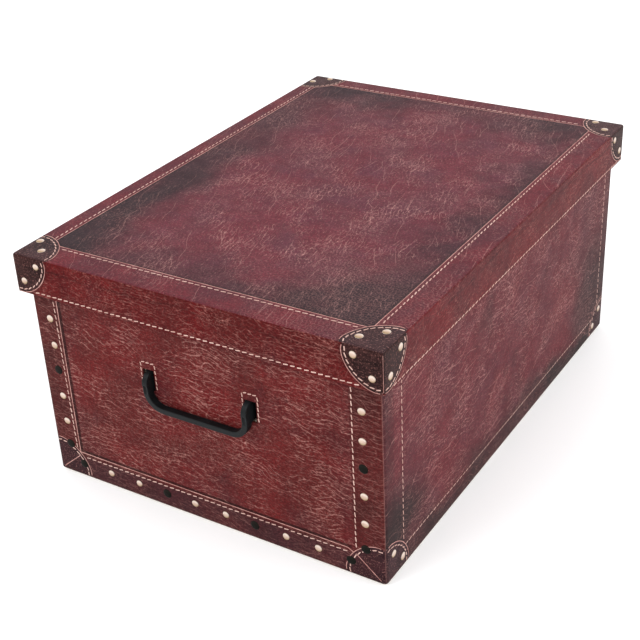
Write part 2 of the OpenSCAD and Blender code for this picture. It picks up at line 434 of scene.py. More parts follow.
def zones_skirt(half, z_row, streak):
    def zones(m, u, v, warp):
        cs = [(-half, LT), (half, LT)]
        patch = near(m, u, v, cs, PATCH_S)
        border = m.mul(m.step(v, LB, z_row - 2.0, 1.0, 0.0), 0.4)
        ws = m.split(warp)
        wave = m.add(v, m.mul(ws[1], 10.0))
        along = m.noise(m.xyz(u, 0.0, 3.0), 120, 2.0, 0.5)
        sh = m.mul(band(m, wave, streak - 1.4, streak + 0.6, 1.3), m.step(along, 0.34, 0.58))
        dark = m.mul(m.step(m.noise(m.xyz(u, v, 9.0), 60, 3.0, 0.6), 0.55, 0.78), 0.35)
        return border, dark, patch, m.math("MAXIMUM", m.mul(sh, 0.55), ring_shade(m, u, v, cs, PATCH_S, 3.5))

    return zones


def zones_end(m, u, v, warp):
    ins = m.mul(m.step(u, -149.6, -149.0), m.step(u, 149.0, 149.6, 1.0, 0.0))
    ins = m.mul(ins, m.step(v, 28.0, 28.6))
    border = m.sub(1.0, ins)
    cs = [(-BX, 0.0), (BX, 0.0)]
    patch = near(m, u, v, cs, PATCH_B)
    ws = m.split(warp)
    uu = m.add(u, m.mul(ws[0], 90.0))
    vv = m.add(v, m.mul(ws[1], 90.0))
    blob = m.step(m.noise(m.xyz(u, v, 21.0), 46, 3.0, 0.6), 0.52, 0.74)
    edge = m.math("MAXIMUM", m.step(vv, 26.0, 52.0, 1.0, 0.0), m.step(m.math("ABSOLUTE", uu), 118.0, 150.0))
    dark = m.mul(m.math("MAXIMUM", m.mul(blob, 0.35), m.mul(edge, 0.22)), m.sub(1.0, border))
    dark = m.math("MAXIMUM", dark, m.mul(m.step(v, 23.0, 27.0, 0.64, 0.0), m.step(m.noise(m.xyz(u, v, 2.0), 50, 3.0, 0.6), 0.3, 0.6, 0.5, 1.0)))
    # printed shadows that the strips cast on the panel
    sh = m.mul(m.mul(band(m, u, -149.2, -145.6, 0.5), m.step(v, 26.0, 30.0)), 1.0)
    sh = m.math("MAXIMUM", sh, m.mul(m.mul(band(m, v, 28.6, 31.6, 0.6), m.step(m.math("ABSOLUTE", u), 144.0, 148.0, 1.0, 0.0)), 1.0))
    sh = m.math("MAXIMUM", sh, m.mul(m.mul(band(m, u, 147.6, 149.2, 0.7), m.step(v, 26.0, 30.0)), 0.35))
    return border, dark, patch, m.mul(sh, 0.95)


def zones_side(m, u, v, warp):
    border = m.math("MAXIMUM", m.step(v, 20.6, 21.2, 1.0, 0.0), m.step(m.math("ABSOLUTE", m.sub(u, 0.0)), 229.0, 229.8))
    border = m.mul(border, 0.6)
    cs = [(-BY, 0.0), (BY, 0.0)]
    patch = near(m, u, v, cs, PATCH_B)
    ws = m.split(warp)
    uu = m.add(u, m.mul(ws[0], 70.0))
    vv = m.add(v, m.mul(ws[1], 60.0))
    low = m.mul(m.step(vv, 14.0, 46.0, 1.0, 0.0), m.step(m.noise(m.xyz(u, 0.0, 12.0), 130, 2.0, 0.5), 0.35, 0.6, 0.55, 1.0))
    nook = m.mul(m.step(uu, -222.0, -150.0, 1.0, 0.0), m.step(vv, 40.0, 112.0, 1.0, 0.0))
    far = m.mul(m.step(uu, 120.0, 215.0), m.step(vv, 70.0, 150.0, 0.85, 0.2))
    rim = m.step(m.math("ABSOLUTE", u), 224.0, 242.0, 0.0, 0.42)
    blob = m.mul(m.step(m.noise(m.xyz(u, v, 33.0), 60, 3.0, 0.6), 0.56, 0.78), 0.35)
    dark = m.math("MAXIMUM", m.math("MAXIMUM", m.math("MAXIMUM", low, nook), m.math("MAXIMUM", far, rim)), blob)
    return border, dark, patch, m.mul(ring_shade(m, u, v, cs, PATCH_B, 3.0), 1.0)


def pebbles_top(m, u, v, warp):
    ws = m.split(warp)
    uu, vv = m.add(u, m.mul(ws[0], 90.0)), m.add(v, m.mul(ws[1], 90.0))
    return m.mul(m.mul(m.step(uu, 20.0, 110.0, 0.2, 1.0), m.step(vv, -180.0, -80.0, 1.0, 0.0)), 1.0)


# The per-face colours below are partly the print and partly painted sheen: the lid top and the side faces are made
# paler and more mauve, the front and rear faces redder; the corner patches are made lighter on the lid top and darker
# on the skirts for the same reason.
M_TOP = leather("print_lid_top", 1, 2, (0, 0, 0), slope=104, crease=0.47, crack=0.28, net=0.28, long_vein=0.38, long_slope=106, net_slope=60, bend=0.6, curl=0.3,
                cover=(0.44, 0.66), red=(122, 42, 48), brown=(112, 48, 52), deep=(102, 42, 54), vein=(180, 132, 126), slate=(35, 24, 29),
                strip=((124, 36, 40), (100, 36, 40)), zones=zones_top, print_and_sheen_tint=(0.56, 0.65, 0.84), spec=0.13, net_zone=pebbles_top,
                patch_hue=(58, 34, 36), patch_deep=(38, 22, 26), patch_pale=0.45)
SKIRT = dict(red=(124, 32, 34), brown=(110, 36, 36), vein=(172, 116, 108), strip=((112, 36, 38), (94, 34, 36)), patch_hue=(46, 24, 23), patch_deep=(30, 15, 16))
M_SK_F = leather("print_lid_front", 1, 3, (900, 40, 0), slope=-4, crease=0.40, crack=0.22, net=0.22, long_vein=0.15,
                 zones=zones_skirt(LX, 199.8, 224.0), print_and_sheen_tint=(0.435, 0.30, 0.30), spec=0.06, **SKIRT)
M_SK_B = twin(M_SK_F, "print_lid_rear", -1.0, (1400, 40, 0))
M_SK_R = leather("print_lid_right", 2, 3, (2000, 40, 0), slope=6, crease=0.30, crack=0.2, net=0.30, long_vein=0.2,
                 zones=zones_skirt(LY, 197.5, 225.0), print_and_sheen_tint=(0.54, 0.43, 0.53), spec=0.12, **SKIRT)
M_SK_L = twin(M_SK_R, "print_lid_left", -1.0, (2700, 40, 0))
END = dict(slope=-5, crease=0.62, crack=0.30, net=0.16, long_vein=0.28, long_slope=-12, bend=0.8, red=(126, 42, 42), brown=(112, 44, 42),
           deep=(92, 36, 38), vein=(172, 122, 114), strip=((98, 42, 40), (76, 36, 34)), zones=zones_end, print_and_sheen_tint=(0.495, 0.36, 0.375), spec=0.07, worn=BX)
M_FRONT = leather("print_body_front", 1, 3, (300, 700, 0), **END)
M_REAR = twin(M_FRONT, "print_body_rear", -1.0, (300, 1300, 0))
SIDE = dict(slope=0, crease=0.44, crack=0.26, net=0.26, long_vein=0.42, long_slope=8, bend=1.15, cover=(0.40, 0.63), red=(122, 44, 48),
            brown=(112, 48, 52), deep=(100, 42, 52), vein=(180, 130, 124), slate=(34, 22, 23), zones=zones_side, print_and_sheen_tint=(0.52, 0.455, 0.57), spec=0.12, worn=BY)
M_RIGHT = leather("print_body_right", 2, 3, (900, 2000, 0), **SIDE)
M_LEFT = twin(M_RIGHT, "print_body_left", -1.0, (900, 2600, 0))


# ----------------------------------------------------------- other materials
def board_material(name, base, dark, light):
    m = Mat(name)
    p = m.coord()
    cloud = m.noise(p, 55, 4.0, 0.6)
    pulp = m.noise(p, 2.6, 4.0, 0.7)
    s = m.split(p)
    fibre = m.noise(m.xyz(m.mul(s[0], 0.35), m.mul(s[1], 0.35), m.mul(s[2], 1.7)), 1.4, 3.0, 0.7, 0.8)
    speck = m.cells(m.vec("ADD", p, m.vec("SCALE", m.noise(p, 3, 1.0, colour=True), scale=2.0)), 5.2, "F1", flat=False)
    c = m.mix(m.step(cloud, 0.35, 0.65), srgb(*base), srgb(*light))
    c = m.mix(m.mul(m.step(pulp, 0.52, 0.72), 0.35), c, srgb(*dark))
    c = m.mix(m.mul(m.step(fibre, 0.60, 0.72), 0.4), c, srgb(*light))
    c = m.mix(m.mul(m.step(speck, 0.12, 0.06), 0.55), c, srgb(*dark))
    h = m.add(m.mul(pulp, 0.7), m.mul(fibre, 0.5))
    return m.finish(c, m.step(pulp, 0.3, 0.7, 0.78, 0.9), m.bump(h, 0.12, 0.6), 0.3)


M_BOARD = board_material("board_plain", (196, 184, 166), (150, 134, 114), (212, 202, 186))
M_CUT = board_material("board_cut_edge", (188, 170, 150), (128, 108, 92), (214, 200, 182))


def slot_edge():
    m = Mat("slot_edge")
    p = m.coord()
    s = m.split(p)
    ply = m.noise(m.xyz(m.mul(s[0], 0.1), m.mul(s[1], 2.4), m.mul(s[2], 0.1)), 1.0, 2.0, 0.6)
    fuzz = m.noise(p, 1.6, 3.0, 0.7)
    c = m.mix(m.step(ply, 0.4, 0.6), srgb(84, 26, 24), srgb(112, 52, 44))
    c = m.gain(c, m.step(fuzz, 0.3, 0.7, 0.75, 1.2))
    return m.finish(c, 0.8, m.bump(fuzz, 0.1, 0.6), 0.3)


M_SLOT = slot_edge()


def thread():
    m = Mat("stitch_thread")
    p = m.coord()
    tone = m.noise(p, 26, 3.0, 0.6)
    ply = m.noise(p, 0.8, 2.0, 0.6)
    c = m.mix(m.step(tone, 0.35, 0.65), srgb(212, 175, 163), srgb(192, 151, 139))
    c = m.gain(c, m.step(ply, 0.3, 0.7, 0.82, 1.12))
    return m.finish(c, m.step(ply, 0.3, 0.7, 0.55, 0.75), m.bump(ply, 0.08, 0.6), 0.4)


def pale_line():
    m = Mat("pale_edge_line")
    p = m.coord()
    tone = m.noise(p, 14, 3.0, 0.65)
    rub = m.noise(p, 2.2, 3.0, 0.7)
    c = m.mix(m.step(tone, 0.35, 0.65), srgb(198, 148, 138), srgb(168, 114, 106))
    c = m.gain(c, m.step(rub, 0.3, 0.7, 0.7, 1.15))
    return m.finish(c, m.step(rub, 0.3, 0.7, 0.5, 0.7), m.bump(rub, 0.05, 0.5), 0.4)


def stud_material(name, base, low, rim, light, shade, spec):
    m = Mat(name)
    p = m.coord()
    tone = m.noise(p, 18, 2.0, 0.5)
    wear = m.noise(p, 1.7, 4.0, 0.7)
    g = m.t.nodes.new("ShaderNodeNewGeometry")
    gn = m.split(g.outputs["Normal"])
    up = gn[2]
    facing = m.math("MAXIMUM", m.math("MAXIMUM", m.math("ABSOLUTE", gn[0]), m.math("ABSOLUTE", gn[1])), m.math("ABSOLUTE", gn[2]))
    c = m.mix(m.step(tone, 0.35, 0.65), srgb(*base), srgb(*low))
    flat = m.step(up, 0.70, 0.85)
    lean = m.add(m.mul(up, m.sub(1.0, flat)), m.mul(gn[1], flat))
    c = m.mix(m.mul(m.step(lean, -0.02, 0.22), 0.75), c, srgb(*light))
    c = m.mix(m.mul(m.step(lean, 0.02, -0.26), 0.85), c, srgb(*shade))
    c = m.mix(m.mul(m.step(wear, 0.58, 0.74), 0.3), c, srgb(*rim))
    c = m.mix(m.mul(m.step(up, -0.25, -0.8), 0.55), c, srgb(*rim))
    c = m.mix(m.mul(m.step(facing, 0.96, 0.72), 0.5), c, srgb(*rim))
    return m.finish(c, m.step(wear, 0.3, 0.7, 0.30, 0.5), m.bump(wear, 0.06, 0.4), spec)


M_THREAD = thread()
M_LINE = pale_line()
M_CREAM = stud_material("stud_cream", (202, 178, 160), (190, 162, 144), (104, 78, 50), (222, 208, 198), (150, 124, 84), 0.25)
M_BLACK = stud_material("stud_black", (20, 17, 13), (15, 15, 10), (8, 7, 5), (30, 27, 23), (10, 11, 7), 0.05)
DETAIL = [M_THREAD, M_LINE, M_CREAM, M_BLACK]


def plastic():
    m = Mat("handle_plastic")
    p = m.coord()
    grain = m.noise(p, 0.9, 3.0, 0.6)
    flow = m.noise(p, 14, 3.0, 0.6)
    rub = m.noise(m.vec("ADD", p, (60.0, 0.0, 0.0)), 4.5, 4.0, 0.7)
    c = m.mix(m.step(flow, 0.35, 0.65), srgb(15, 17, 18), srgb(20, 23, 25))
    c = m.mix(m.mul(m.step(rub, 0.58, 0.75), 0.35), c, srgb(36, 39, 41))
    h = m.add(m.mul(grain, 0.5), m.mul(flow, 0.5))
    return m.finish(c, m.add(m.step(flow, 0.3, 0.7, 0.34, 0.46), m.mul(grain, 0.08)), m.bump(h, 0.08, 0.35), 0.14)


M_PLASTIC = plastic()


# -------------------------------------------------------- rounded box shells
class Shell:
    """The outside of a folded box: flat faces with rounded folds between them."""

    def __init__(self, lo, hi, r_lo, r_hi):
        self.lo, self.hi = np.array(lo, float), np.array(hi, float)
        self.r_lo, self.r_hi = np.array(r_lo, float), np.array(r_hi, float)

    def point(self, q, h=0.0):
        q = np.asarray(q, float)
        inner = np.minimum(np.maximum(q, self.lo + self.r_lo), self.hi - self.r_hi)
        d = q - inner
        r = np.where(d < 0, self.r_lo, self.r_hi)
        e = d / r
        length = np.linalg.norm(e, axis=-1, keepdims=True)
        e = e / np.maximum(length, 1e-9)
        p = inner + e * r
        n = e / r
        n = n / np.maximum(np.linalg.norm(n, axis=-1, keepdims=True), 1e-9)
        return p + n * h


FAR = 9000.0
BODY = Shell((-BX, -BY, 0), (BX, BY, FAR), (4.2, 4.2, 3.2), (4.2, 4.2, 3.2))
LID = Shell((-LX, -LY, LB), (LX, LY, LT), (2.6, 2.6, 1.2), (2.6, 2.6, 2.4))

# face: (shell, fixed axis, side, u axis, v axis)
FACES = {
    "body_front": (BODY, 1, -1, 0, 2),
    "body_rear": (BODY, 1, 1, 0, 2),
    "body_left": (BODY, 0, -1, 1, 2),
    "body_right": (BODY, 0, 1, 1, 2),
    "body_bottom": (BODY, 2, -1, 0, 1),
    "lid_front": (LID, 1, -1, 0, 2),
    "lid_rear": (LID, 1, 1, 0, 2),
    "lid_left": (LID, 0, -1, 1, 2),
    "lid_right": (LID, 0, 1, 1, 2),
    "lid_top": (LID, 2, 1, 0, 1),
}


def on_face(face, u, v, depth=0.0):
    shell, axis, side, ua, va = FACES[face]
    u, v = np.asarray(u, float), np.asarray(v, float)
    q = np.zeros(u.shape + (3,))
    plane = shell.hi[axis] if side > 0 else shell.lo[axis]
    q[..., axis] = plane - side * depth
    q[..., ua] = u
    q[..., va] = v
    return q


def surf(face, u, v, h=0.0):
    return FACES[face][0].point(on_face(face, u, v), h)


def make(name, verts, faces, mats, body, replaces=(), midx=None, angle=35.0, check=True):
    me = bpy.data.meshes.new(name)
    me.from_pydata((np.asarray(verts) / 1000.0).tolist(), [], faces)
    for x in mats:
        me.materials.append(x)
    if midx is not None:
        me.polygons.foreach_set("material_index", midx)
    me.update()
    bm = bmesh.new()
    bm.from_mesh(me)
    bmesh.ops.recalc_face_normals(bm, faces=bm.faces)
    bm.to_mesh(me)
    bm.free()
    me.shade_smooth()
    me.set_sharp_from_angle(angle=math.radians(angle))
    o = bpy.data.objects.new(name, me)
    bpy.context.scene.collection.objects.link(o)
    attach(o, body)
    if replaces:
        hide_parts(*replaces)
    return o


def grid_lines(lo, hi, fold_lo, fold_hi, extra=(), pitch=16.0):
    """Positions across a panel: close together in the folds, even between."""
    xs = [lo, hi]
    for f, e, s in ((fold_lo, lo, 1), (fold_hi, hi, -1)):
        if f:
            xs += [e + s * f * k for k in (0.2, 0.4, 0.6, 0.8, 1.0)]
    xs += list(extra)
    a = lo + fold_lo
    b = hi - fold_hi
    n = max(2, int(round((b - a) / pitch)))
    for k in range(1, n):
        x = a + (b - a) * k / n
        if min(abs(x - y) for y in xs) > 3.0:
            xs.append(x)
    xs = sorted(xs)
    out = [xs[0]]
    for x in xs[1:]:
        if x - out[-1] > 1e-6:
            out.append(x)
    return np.array(out)


def panel(name, face, us, vs, mitre, mats, body, replaces, holes=(), bow=0.0):
    """A board with a printed outside (material 0), a plain inside (1) and cut edges (2).
    mitre says which of the four edges (u lo, u hi, v lo, v hi) end in a fold, where the board is mitred."""
    shell, axis, side, ua, va = FACES[face]
    U, V = np.meshgrid(us, vs, indexing="ij")
    outer = surf(face, U, V)

    def pull(x, lo, hi, at_lo, at_hi):
        y = x.copy()
        if at_lo:
            k = x < lo + 14
            y = np.where(k, lo + T + (x - lo) * (14 - T) / 14, y)
        if at_hi:
            k = x > hi - 14
            y = np.where(k, hi - T - (hi - x) * (14 - T) / 14, y)
        return y

    Ui = pull(U, us[0], us[-1], mitre[0], mitre[1])
    Vi = pull(V, vs[0], vs[-1], mitre[2], mitre[3])
    inner = on_face(face, Ui, Vi, T)
    if bow:
        bend = (1 - ((U - us.mean()) / (us[-1] - us.mean())) ** 2) * (1 - ((V - vs.mean()) / (vs[-1] - vs.mean())) ** 2)
        outer[..., axis] += side * bow * bend
        inner[..., axis] += side * bow * bend
    nu, nv = len(us), len(vs)
    verts = np.concatenate([outer.reshape(-1, 3), inner.reshape(-1, 3)])
    off = nu * nv
    keep = np.ones((nu - 1, nv - 1), bool)
    for u0, u1, v0, v1 in holes:
        cu = (us[:-1] + us[1:]) / 2
        cv = (vs[:-1] + vs[1:]) / 2
        keep &= ~(((cu > u0) & (cu < u1))[:, None] & ((cv > v0) & (cv < v1))[None, :])
    faces, midx = [], []
    at = lambda i, j: i * nv + j
    for i in range(nu - 1):
        for j in range(nv - 1):
            if not keep[i, j]:
                continue
            f = [at(i, j), at(i + 1, j), at(i + 1, j + 1), at(i, j + 1)]
            faces.append(f)
            midx.append(0)
            faces.append([x + off for x in reversed(f)])
            midx.append(1)
            for di, dj, e in ((-1, 0, (f[3], f[0])), (1, 0, (f[1], f[2])), (0, -1, (f[0], f[1])), (0, 1, (f[2], f[3]))):
                a, b = i + di, j + dj
                if 0 <= a < nu - 1 and 0 <= b < nv - 1 and keep[a, b]:
                    continue
                inside = 0 <= a < nu - 1 and 0 <= b < nv - 1
                faces.append([e[1], e[0], e[0] + off, e[1] + off])
                midx.append(3 if inside else 2)
    used = sorted({x for f in faces for x in f})
    new = {x: k for k, x in enumerate(used)}
    verts = verts[used]
    faces = [[new[x] for x in f] for f in faces]
    return make(name, verts, faces, mats, body, replaces, midx)


# ------------------------------------------------------------------ body
slot_holes = [(s * SX - SW / 2, s * SX + SW / 2, PZ - SH / 2, PZ + SH / 2) for s in (-1, 1)]
slot_u = [s * SX + k * SW / 2 for s in (-1, 1) for k in (-1, 1)]
slot_v = [PZ - SH / 2, PZ + SH / 2]
end_u = grid_lines(-BX, BX, 4.2, 4.2, slot_u)
end_v = grid_lines(0, RIM - T, 3.2, 0, slot_v)
side_u = grid_lines(-BY, BY, 4.2, 4.2)
side_v = grid_lines(0, RIM, 3.2, 0)

panel("body_front_panel", "body_front", end_u, end_v, (1, 1, 1, 0), [M_FRONT, M_BOARD, M_CUT, M_SLOT], "box",
      ["end_wall_front_outer"], slot_holes)
panel("body_rear_panel", "body_rear", end_u, end_v, (1, 1, 1, 0), [M_REAR, M_BOARD, M_CUT, M_SLOT], "box",
      ["end_wall_rear_outer"], slot_holes)
panel("body_left_panel", "body_left", side_u, side_v, (1, 1, 1, 0), [M_LEFT, M_BOARD, M_CUT, M_SLOT], "box", ["side_wall_left"])
panel("body_right_panel", "body_right", side_u, side_v, (1, 1, 1, 0), [M_RIGHT, M_BOARD, M_CUT, M_SLOT], "box", ["side_wall_right"])

# bottom, with the slots that the locking tabs go through
lock_holes, lock_u, lock_v = [], [], []
for sy in (-1, 1):
    y0, y1 = sorted((sy * 240.1, sy * 242.5))
    lock_v += [y0, y1]
    for sx in (-1, 1):
        lock_holes.append((sx * 90 - 20.5, sx * 90 + 20.5, y0, y1))
        lock_u += [sx * 90 - 20.5, sx * 90 + 20.5]
bot_u = grid_lines(-BX, BX, 4.2, 4.2, lock_u)
bot_v = grid_lines(-BY, BY, 4.2, 4.2, lock_v)
panel("body_bottom_panel", "body_bottom", bot_u, bot_v, (1, 1, 1, 1), [M_BOARD, M_BOARD, M_CUT, M_CUT], "box",
      ["base_panel"], lock_holes)


def bar(name, profile, x0, x1, mats, body, replaces, midx_of=None, cuts=12):
    """A closed outline in (y, z) drawn along x."""
    prof = np.array(profile, float)
    xs = np.linspace(x0, x1, cuts + 1)
    n = len(prof)
    verts = [(x, y, z) for x in xs for y, z in prof]
    faces, midx = [], []
    for k in range(cuts):
        for i in range(n):
            j = (i + 1) % n
            faces.append([k * n + i, k * n + j, (k + 1) * n + j, (k + 1) * n + i])
            midx.append(midx_of(i) if midx_of else 0)
    faces.append(list(range(n)))
    midx.append(len(mats) - 1)
    faces.append([cuts * n + i for i in reversed(range(n))])
    midx.append(len(mats) - 1)
    return make(name, verts, faces, mats, body, replaces, midx)


def arc(cy, cz, ry, rz, a0, a1, n=6):
    return [(cy + ry * math.cos(math.radians(a0 + (a1 - a0) * k / n)), cz + rz * math.sin(math.radians(a0 + (a1 - a0) * k / n))) for k in range(n + 1)]


# rim folds: the end panel rolls over the rim and goes down inside
for sy, nm in ((-1, "front"), (1, "rear")):
    o0, i0, z0, z1 = BY, 240.3, RIM - T, RIM
    r = 1.7
    prof = [(o0, z0)] + arc(o0 - r, z1 - r, r, r, 0, 90) + arc(i0 + r, z1 - r, r, r, 90, 180) + [(i0, z0)]
    prof = [(sy * y, z) for y, z in prof]
    bar("body_rim_" + nm, prof, -176.4, 176.4, [M_FRONT if sy < 0 else M_REAR, M_CUT], "box", ["rim_fold_" + nm])

# ------------------------------------------------------------------ lid
top_u = grid_lines(-LX, LX, 2.6, 2.6)
top_v = grid_lines(-LY, LY, 2.6, 2.6)
sk_v = grid_lines(LB, LT, 1.2, 2.4, pitch=8)
sk_side_v = grid_lines(LB, LT, 0.0, 2.4, pitch=8)
LID_SIDE = Shell((-LX, -LY, LB - 50), (LX, LY, LT), (2.6, 2.6, 1.2), (2.6, 2.6, 2.4))
panel("lid_top", "lid_top", top_u, top_v, (1, 1, 1, 1), [M_TOP, M_BOARD, M_CUT], "lid", ["lid_top_panel"])
panel("lid_front_skirt", "lid_front", top_u, sk_v, (1, 1, 1, 1), [M_SK_F, M_BOARD, M_CUT], "lid", ["lid_end_skirt_front"])
panel("lid_rear_skirt", "lid_rear", top_u, sk_v, (1, 1, 1, 1), [M_SK_B, M_BOARD, M_CUT], "lid", ["lid_end_skirt_rear"])
for sd in ("left", "right"):
    f = FACES["lid_" + sd]
    FACES["lid_" + sd] = (LID_SIDE,) + f[1:]
    panel("lid_%s_skirt" % sd, "lid_" + sd, top_v, sk_side_v, (1, 1, 0, 1), [M_SK_R if sd == "right" else M_SK_L, M_BOARD, M_CUT], "lid",
          ["lid_side_skirt_" + sd])

# hems: the end skirt rolls in under its lower edge and stands up inside
for sy, nm in ((-1, "front"), (1, "rear")):
    ry, rz = 2.6, 1.2
    c45 = math.sqrt(0.5)
    out = arc(LY - ry, LB + rz, ry, rz, -45, -90, 4)
    inn = arc(248.8 + 1.6, LB + 1.6, 1.6, 1.6, 270, 180, 5)
    prof = [(LY - T, LB + T)] + out + inn + [(248.8, 231.4), (250.8, 231.4), (250.8, LB + T)]
    mi = [0] * len(prof)
    prof = [(sy * y, z) for y, z in prof]
    ninn = 1 + len(out) + len(inn)
    bar("lid_%s_hem" % nm, prof, -182.7, 182.7, [M_SK_F if sy < 0 else M_SK_B, M_BOARD, M_CUT], "lid", ["lid_end_hem_" + nm],
        lambda i: 1 if i >= ninn - 3 or i == 0 else 0)


# ------------------------------------------------- stitches, lines and studs
class Relief:
    """Thin raised details on one face, gathered into one mesh."""

    def __init__(self, face):
        self.face, self.v, self.f, self.m = face, [], [], []

    def ring_stack(self, rings, mat):
        """rings: lists of (u, v, h), the same number of points each; closed at both ends."""
        base = len(self.v)
        n = len(rings[0])
        for ring in rings:
            a = np.array(ring, float)
            self.v += surf(self.face, a[:, 0], a[:, 1], a[:, 2:3]).tolist()
        for k in range(len(rings) - 1):
            for i in range(n):
                j = (i + 1) % n
                self.f.append([base + k * n + i, base + k * n + j, base + (k + 1) * n + j, base + (k + 1) * n + i])
                self.m.append(mat)
        self.f.append([base + i for i in reversed(range(n))])
        self.f.append([base + (len(rings) - 1) * n + i for i in range(n)])
        self.m += [mat, mat]

    def dash(self, a, b, w=0.9, h=0.2, mat=0):
        a, b = np.array(a, float), np.array(b, float)
        d = b - a
        length = np.linalg.norm(d)
        d = d / length
        n = np.array([-d[1], d[0]])

        def outline(half):
            pts = []
            for c, s in ((b, 1), (a, -1)):
                for ang in (-75, -38, 0, 38, 75):
                    t = math.radians(ang)
                    e = c - s * d * (w / 2) * 0.8
                    pts.append(e + s * (d * math.cos(t) * half + n * math.sin(t) * half))
            return pts

        rings = []
        for half, hh in ((w / 2, -0.15), (w / 2, h * 0.35), (w * 0.36, h * 0.85), (w * 0.16, h)):
            rings.append([(p[0], p[1], hh) for p in outline(half)])
        self.ring_stack(rings, mat)

    def row(self, path, pitch=6.5, dash=4.4, w=1.05, skip=None, h=0.2, mat=0, lean=0.32):
        """Dashes along a polyline of (u, v)."""
        pts = np.array(path, float)
        seg = np.linalg.norm(np.diff(pts, axis=0), axis=1)
        s = np.concatenate([[0], np.cumsum(seg)])
        total = s[-1]
        n = max(1, int(round(total / pitch)))
        pit = total / n

        def at(x):
            return np.array([np.interp(x, s, pts[:, 0]), np.interp(x, s, pts[:, 1])])

        for k in range(n):
            j = rng.uniform(-0.18, 0.18)
            l = dash * rng.uniform(0.92, 1.06) * pit / pitch
            a, b = at((k + 0.5) * pit - l / 2 + j), at((k + 0.5) * pit + l / 2 + j)
            t = (b - a) / max(np.linalg.norm(b - a), 1e-6)
            nrm = np.array([-t[1], t[0]])
            a = a - nrm * (lean + rng.uniform(-0.12, 0.12))
            b = b + nrm * (lean + rng.uniform(-0.12, 0.12))
            c = (a + b) / 2
            if skip is not None and (skip(*a) or skip(*c) or skip(*b)):
                continue
            self.dash(a, b, w * rng.uniform(0.92, 1.08), h, mat)

    def line(self, path, w=0.7, h=0.09, skip=None, mat=1, step=7.0):
        """A thin continuous pale line."""
        pts = np.array(path, float)
        seg = np.linalg.norm(np.diff(pts, axis=0), axis=1)
        s = np.concatenate([[0], np.cumsum(seg)])
        n = max(2, int(s[-1] / step) + 1)
        ss = np.linspace(0, s[-1], n)
        p = np.stack([np.interp(ss, s, pts[:, 0]), np.interp(ss, s, pts[:, 1])], 1)
        if skip is not None:
            fine = np.linspace(0, s[-1], max(n, int(s[-1])))
            q = np.stack([np.interp(fine, s, pts[:, 0]), np.interp(fine, s, pts[:, 1])], 1)
            ok = np.array([not skip(*x) for x in q])
            if not ok.any():
                return
            runs, start = [], None
            for i, k in enumerate(ok):
                if k and start is None:
                    start = i
                if start is not None and (not k or i == len(ok) - 1):
                    end = i if k else i - 1
                    if end - start > 2:
                        runs.append((fine[start], fine[end]))
                    start = None
            for a, b in runs:
                m = max(2, int((b - a) / step) + 1)
                sx = np.linspace(a, b, m)
                self._ribbon(np.stack([np.interp(sx, s, pts[:, 0]), np.interp(sx, s, pts[:, 1])], 1), w, h, mat)
            return
        self._ribbon(p, w, h, mat)

    def _ribbon(self, p, w, h, mat):
        t = np.gradient(p, axis=0)
        t /= np.maximum(np.linalg.norm(t, axis=1, keepdims=True), 1e-9)
        n = np.stack([-t[:, 1], t[:, 0]], 1)
        wv = np.array([w * rng.uniform(0.8, 1.15) for _ in p])[:, None]
        base = len(self.v)
        rows = [(p - n * wv / 2, -0.12), (p - n * wv / 2, h * 0.5), (p - n * wv / 5, h), (p + n * wv / 5, h), (p + n * wv / 2, h * 0.5), (p + n * wv / 2, -0.12)]
        k = len(rows)
        for q, hh in rows:
            self.v += surf(self.face, q[:, 0], q[:, 1], hh).tolist()
        m = len(p)
        for r in range(k):
            r2 = (r + 1) % k
            for i in range(m - 1):
                self.f.append([base + r * m + i, base + r * m + i + 1, base + r2 * m + i + 1, base + r2 * m + i])
                self.m.append(mat)
        self.f.append([base + r * m for r in reversed(range(k))])
        self.f.append([base + r * m + m - 1 for r in range(k)])
        self.m += [mat, mat]

    def stud(self, u, v, black=False, r=3.6, h=0.8):
        ru, rv = r * rng.uniform(0.95, 1.04), r * rng.uniform(0.97, 1.06)
        tilt = rng.uniform(0, math.pi)
        n = 20
        wob = [1 + 0.02 * math.sin(2 * (2 * math.pi * k / n) + tilt) for k in range(n)]
        rings = []
        for f, hh in ((1.0, -0.2), (1.0, 0.12), (0.95, 0.36), (0.84, 0.6), (0.66, 0.8), (0.42, 0.93), (0.18, 1.0)):
            rings.append([(u + ru * f * wob[k] * math.cos(2 * math.pi * k / n), v + rv * f * wob[k] * math.sin(2 * math.pi * k / n),
                           hh * h if hh > 0 else hh) for k in range(n)])
        self.ring_stack(rings, 3 if black else 2)

    def done(self, name, body):
        return make(name, self.v, self.f, DETAIL, body, (), self.m, angle=50)


def circle(cu, cv, r, a0, a1, n=30):
    """The outline of a corner patch, which bends in a little where it meets a fold."""
    pts = []
    for k in range(n + 1):
        a = math.radians(a0 + (a1 - a0) * k / n)
        c, s = math.cos(a), math.sin(a)
        e = r
        for _ in range(4):
            e = r - PULL * math.exp(-abs(e * c) / PULL_L) - PULL * math.exp(-abs(e * s) / PULL_L)
        pts.append((cu + e * c, cv + e * s))
    return pts


def in_any(centres, r):
    def f(u, v):
        return any(math.hypot(u - a, v - b) < r for a, b in centres)

    return f


